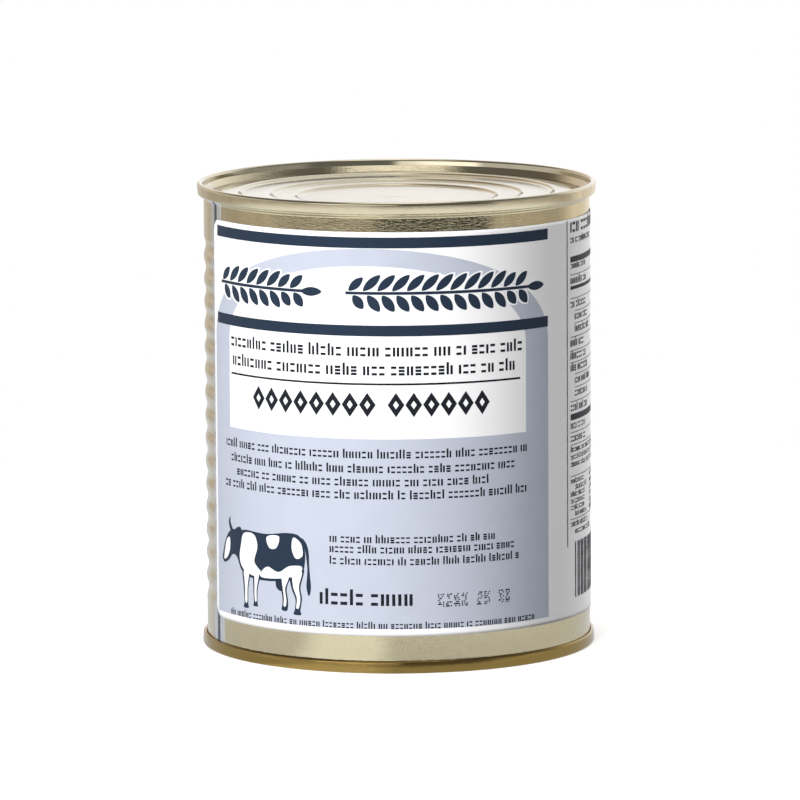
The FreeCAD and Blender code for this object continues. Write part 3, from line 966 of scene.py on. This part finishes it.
def tinplate(name, colour, waviness):
    """Lacquered tinplate: short flecks of rolling grain round the can, slow waviness, small freckles."""
    material, nodes = new_material(name)
    vector, (x, y, z) = nodes.place()
    angle = x.angle_to(0 - y)
    radius = (x * x + y * y) ** 0.5
    flecks = nodes.noise(nodes.vector(angle * 0.011, z, radius), 0.0003, 3, 0.6)
    wave = nodes.noise(nodes.vector(angle * 0.03, z, radius), 0.003, 2)
    freckle = nodes.noise(vector, 0.0009, 2).between(0.62, 0.8)
    shade = nodes.mix(rgba(colour, 1.04), rgba(colour, 0.93), wave)
    shade = nodes.mix(shade, rgba(colour, 0.7), freckle * 0.3)
    height = (wave * 0.00003 + flecks * 0.00003) * waviness
    roughness = 0.07 + flecks * 0.05 + freckle * 0.1
    nodes.surface(Base_Color=shade, Metallic=1.0, Roughness=roughness, Normal=nodes.bump(height))
    return material


def metal(name, colour):
    """Unlacquered or burnt sheet with a fine upright grain."""
    material, nodes = new_material(name)
    _, (x, y, z) = nodes.place()
    grain = nodes.noise(nodes.vector(x, y, z * 0.05), 0.0002, 3)
    stain = nodes.noise(nodes.vector(x, y, z * 0.4), 0.0015, 3)
    shade = nodes.mix(rgba(colour, 0.75), rgba(colour, 1.15), stain)
    nodes.surface(Base_Color=shade, Metallic=1.0, Roughness=0.26 + grain * 0.16,
                  Normal=nodes.bump(grain * 0.000003 + stain * 0.00001))
    return material


def paper(name, colour):
    """Coated paper with faint fibres."""
    material, nodes = new_material(name)
    vector, _ = nodes.place()
    fibre = nodes.noise(vector, 0.0005, 4, 0.65)
    cloud = nodes.noise(vector, 0.009, 2)
    shade = nodes.mix(rgba(colour, 0.985), rgba(colour, 1.01), fibre * 0.5 + cloud * 0.5)
    nodes.surface(Base_Color=shade, Roughness=0.42 + fibre * 0.12, Specular_IOR_Level=0.35,
                  Normal=nodes.bump(fibre * 0.000008))
    return material


def ink_material(name, colour):
    """Printing ink: slightly uneven cover and a little sheen."""
    material, nodes = new_material(name)
    vector, _ = nodes.place()
    dots = nodes.noise(vector, 0.0004, 3, 0.6)
    cloud = nodes.noise(vector, 0.006, 2)
    shade = nodes.mix(rgba(colour, 0.93), rgba(colour, 1.08), dots * 0.5 + cloud * 0.5)
    nodes.surface(Base_Color=shade, Roughness=0.40 + dots * 0.14, Specular_IOR_Level=0.14,
                  Normal=nodes.bump(dots * 0.000006))
    return material


# ------------------------------------------------------------------ stage


def lamp(name, watts, size, azimuth, elevation, distance):
    """A square area lamp that faces the can's middle, from an azimuth and elevation in degrees."""
    data = bpy.data.lights.new(name, "AREA")
    data.energy = watts
    data.size = size
    light = put(name, data)
    a, e = math.radians(azimuth), math.radians(elevation)
    back = np.array([math.sin(a) * math.cos(e), -math.cos(a) * math.cos(e), math.sin(e)])
    place = np.array([0, 0, 60 * MM]) + back * distance
    light.matrix_world = Matrix(((math.cos(a), -math.sin(a) * math.sin(e), back[0], place[0]),
                                 (math.sin(a), math.cos(a) * math.sin(e), back[1], place[1]),
                                 (0, math.cos(e), back[2], place[2]),
                                 (0, 0, 0, 1)))
    light.visible_glossy = False


def build_camera(stage):
    """The camera: in front of the can and above it, turned, tilted down and leaned."""
    data = bpy.data.cameras.new("Camera")
    data.lens = stage.camera_lens
    data.sensor_width = 36
    data.clip_end = 50
    camera = put("Camera", data)
    camera.matrix_world = (Matrix.Translation((0, -stage.camera_distance, stage.camera_height))
                           @ Matrix.Rotation(stage.camera_turn, 4, "Z")
                           @ Matrix.Rotation(QUARTER_TURN - stage.camera_pitch, 4, "X")
                           @ Matrix.Rotation(stage.camera_roll, 4, "Z"))
    bpy.context.scene.camera = camera


def build_floor(stage):
    """A flat round floor: rings of points about its middle."""
    radii = np.array([[0.06], [0.2], [0.6], [6.0]])
    angle = FULL_TURN * np.arange(FLOOR_SEGMENTS)[None] / FLOOR_SEGMENTS
    rings = wrapped(radii, angle, np.zeros((len(radii), 1))).reshape(-1, 3)
    around = np.arange(FLOOR_SEGMENTS)
    middle = np.stack([np.full(FLOOR_SEGMENTS, len(rings)), around, np.roll(around, -1)], axis=1)
    faces = grid_faces(len(radii), FLOOR_SEGMENTS, close_columns=True).tolist() + middle.tolist()
    mesh = bpy.data.meshes.new("floor")
    mesh.from_pydata(rings.tolist() + [[0, 0, 0]], [], faces)
    mesh.materials.append(floor_material(stage.floor_colour))
    put("floor", mesh)


def build_stage(stage):
    """Camera, floor, lamps and surroundings."""
    build_camera(stage)
    build_floor(stage)
    lamp("Key", stage.key_power, size=0.9, azimuth=-28, elevation=22, distance=1.6)
    lamp("Fill", stage.fill_power, size=0.8, azimuth=134, elevation=15, distance=1.7)
    lamp("Top", stage.top_power, size=0.9, azimuth=0, elevation=86, distance=1.3)
    surroundings()
    bpy.context.scene.view_settings.view_transform = "Standard"


def floor_material(colour):
    """A white floor with the can's shadow, that the can's gloss mirrors in tones of its own.

    The camera sees plain shading near the can, lifted a little, and even white further off.  The
    gloss mirrors a cool bright floor near the can, brighter still in front and close by at the
    front left.  Further off the floor is warm and takes the room's level, broken by streaks, with
    a dull stretch far off at the front left.
    """
    material, nodes = new_material("Floor")
    vector, (x, y, _) = nodes.place()
    distance = (x * x + y * y) ** 0.5
    turn = x.angle_to(0 - y) * (180 / math.pi)
    cloud = nodes.noise(vector, 0.05, 2)
    shade = nodes.mix(rgba(colour, 0.99), rgba(colour, 1.01), cloud)
    plain = nodes.add("ShaderNodeBsdfDiffuse", {0: shade}).outputs[0]
    lift = nodes.shine("ShaderNodeEmission", WHITE, 0.42)
    near = nodes.add("ShaderNodeAddShader", {0: plain, 1: lift}).outputs[0]
    even = nodes.shine("ShaderNodeEmission", WHITE, 1.0)
    seen = nodes.blend(near, even, distance.between(0.16, 0.34))

    streaks = nodes.noise(nodes.vector(turn * 0.01, 0.0, 0.0), 0.07, 2)
    dull_stretch = turn.band(-84, -60, -24, -6) * distance.between(0.76, 0.9)
    far_level = room_level(turn) * (0.72 + 0.56 * streaks) * (1 - 0.8 * dull_stretch)
    front = turn.band(-120, -80, 80, 120)
    bright_patch = turn.band(-48, -36, -12, 0) * (1 - distance.between(0.12, 0.3))
    near_level = 0.72 + 0.48 * front * distance.between(0.1, 0.25) + 0.45 * bright_patch
    far = distance.between(0.42, 0.62)
    level = near_level * (1 - far) + far_level * far
    tone = nodes.mix((1, 1.03, 1.07, 1), (1, 0.92, 0.82, 1), far)
    mirrored = nodes.shine("ShaderNodeEmission", tone, level)
    dull = nodes.add("ShaderNodeBsdfDiffuse", {0: (0.15, 0.15, 0.15, 1)}).outputs[0]
    nodes.add("ShaderNodeOutputMaterial", {0: nodes.by_ray(seen, mirrored, dull)})
    return material


def room_level(turn):
    """How bright the room is at the horizon, by azimuth in degrees.

    It is black in front, about half bright on both sides and white behind.  On the left it
    brightens in two steps towards the back.
    """
    front = turn.band(-24, -6, 50, 62)
    right = turn.band(50, 62, 108, 130)
    left = 1 - turn.between(-24, -8)
    shade = 0.33 * turn.between(-179, -168) + 0.09 * turn.between(-155, -120)
    return 0.98 - 0.97 * front - shade * left - 0.44 * right


def surroundings():
    """White for the camera, soft light for the surfaces, and a room with a dark front for gloss.

    The room fades upwards, least behind the can.  It has a dark shelf on the right, a low window
    at the front left, a bright ceiling, and a peach tone behind on the left.
    """
    world = bpy.data.worlds.new("Studio")
    bpy.context.scene.world = world
    world.use_nodes = True
    nodes = Nodes(world.node_tree)
    _, (x, y, z) = nodes.place("Generated")
    turn = x.angle_to(0 - y) * (180 / math.pi)
    window = turn.band(-56, -46, -4, 4) * z.band(0.02, 0.05, 0.3, 0.5)
    ceiling = z.between(0.93, 0.97)
    behind = turn.between(110, 140) + 1 - turn.between(-170, -140)
    shelf = turn.band(36, 60, 100, 120)
    fade = z.between(0.35, 0.6) * (1 - 0.75 * behind)
    level = room_level(turn) * (1 - fade) * (1 - 0.6 * shelf)
    level = level + 0.17 + 1.1 * window + 1.3 * ceiling
    peach = turn.band(-179, -168, -140, -110)
    tone = nodes.mix((1, 1, 1.04, 1), (1, 0.88, 0.8, 1), peach)
    white = nodes.shine("ShaderNodeBackground", WHITE, 1.0)
    soft = nodes.shine("ShaderNodeBackground", WHITE, 0.042)
    room = nodes.shine("ShaderNodeBackground", tone, level)
    nodes.add("ShaderNodeOutputWorld", {0: nodes.by_ray(white, room, soft)})


# ------------------------------------------------------------------ operators and panel


class CAN_OT_wall(bpy.types.Operator):
    """Build the beaded wall with its bare margin and weld"""

    bl_idname = "can.wall"
    bl_label = "Build the wall"

    def execute(self, context):
        build_wall(context.scene.food_can)
        return {"FINISHED"}


class CAN_OT_ends(bpy.types.Operator):
    """Build the two pressed ends"""

    bl_idname = "can.ends"
    bl_label = "Build the ends"

    def execute(self, context):
        build_ends(context.scene.food_can)
        return {"FINISHED"}


class CAN_OT_paper(bpy.types.Operator):
    """Build the label's paper"""

    bl_idname = "can.paper"
    bl_label = "Build the label"

    def execute(self, context):
        build_paper(context.scene.food_label)
        return {"FINISHED"}


class CAN_OT_print(bpy.types.Operator):
    """Build everything printed on the label"""

    bl_idname = "can.print"
    bl_label = "Build the print"

    def execute(self, context):
        build_print(context.scene.food_label)
        return {"FINISHED"}


class CAN_OT_stage(bpy.types.Operator):
    """Build the camera, lamps and floor"""

    bl_idname = "can.stage"
    bl_label = "Build the stage"

    def execute(self, context):
        build_stage(context.scene.food_stage)
        return {"FINISHED"}


class CAN_PT_panel(bpy.types.Panel):
    """Settings and buttons in the sidebar"""

    bl_label = "Food can"
    bl_space_type = "VIEW_3D"
    bl_region_type = "UI"
    bl_category = "Can"

    def draw(self, context):
        scene = context.scene
        for settings, operators in ((scene.food_can, ("can.wall", "can.ends")),
                                    (scene.food_label, ("can.paper", "can.print")),
                                    (scene.food_stage, ("can.stage",))):
            box = self.layout.box()
            for name in settings.__annotations__:
                box.prop(settings, name)
            for operator in operators:
                box.operator(operator)


CLASSES = (CanSettings, LabelSettings, StageSettings, CAN_OT_wall, CAN_OT_ends, CAN_OT_paper,
           CAN_OT_print, CAN_OT_stage, CAN_PT_panel)


def register():
    """Add the classes and their settings."""
    for item in CLASSES:
        bpy.utils.register_class(item)
    bpy.types.Scene.food_can = bpy.props.PointerProperty(type=CanSettings)
    bpy.types.Scene.food_label = bpy.props.PointerProperty(type=LabelSettings)
    bpy.types.Scene.food_stage = bpy.props.PointerProperty(type=StageSettings)


def unregister():
    """Take them away again."""
    del bpy.types.Scene.food_can, bpy.types.Scene.food_label, bpy.types.Scene.food_stage
    for item in reversed(CLASSES):
        bpy.utils.unregister_class(item)


def corners(box):
    """A box as plain lists of numbers."""
    return [list(corner) for corner in box]


def main():
    """Register the classes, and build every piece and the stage."""
    register()
    bpy.ops.can.stage()
    bpy.ops.can.wall()
    bpy.ops.can.ends()
    bpy.ops.can.paper()
    bpy.ops.can.print()


if __name__ == "__main__":
    main()
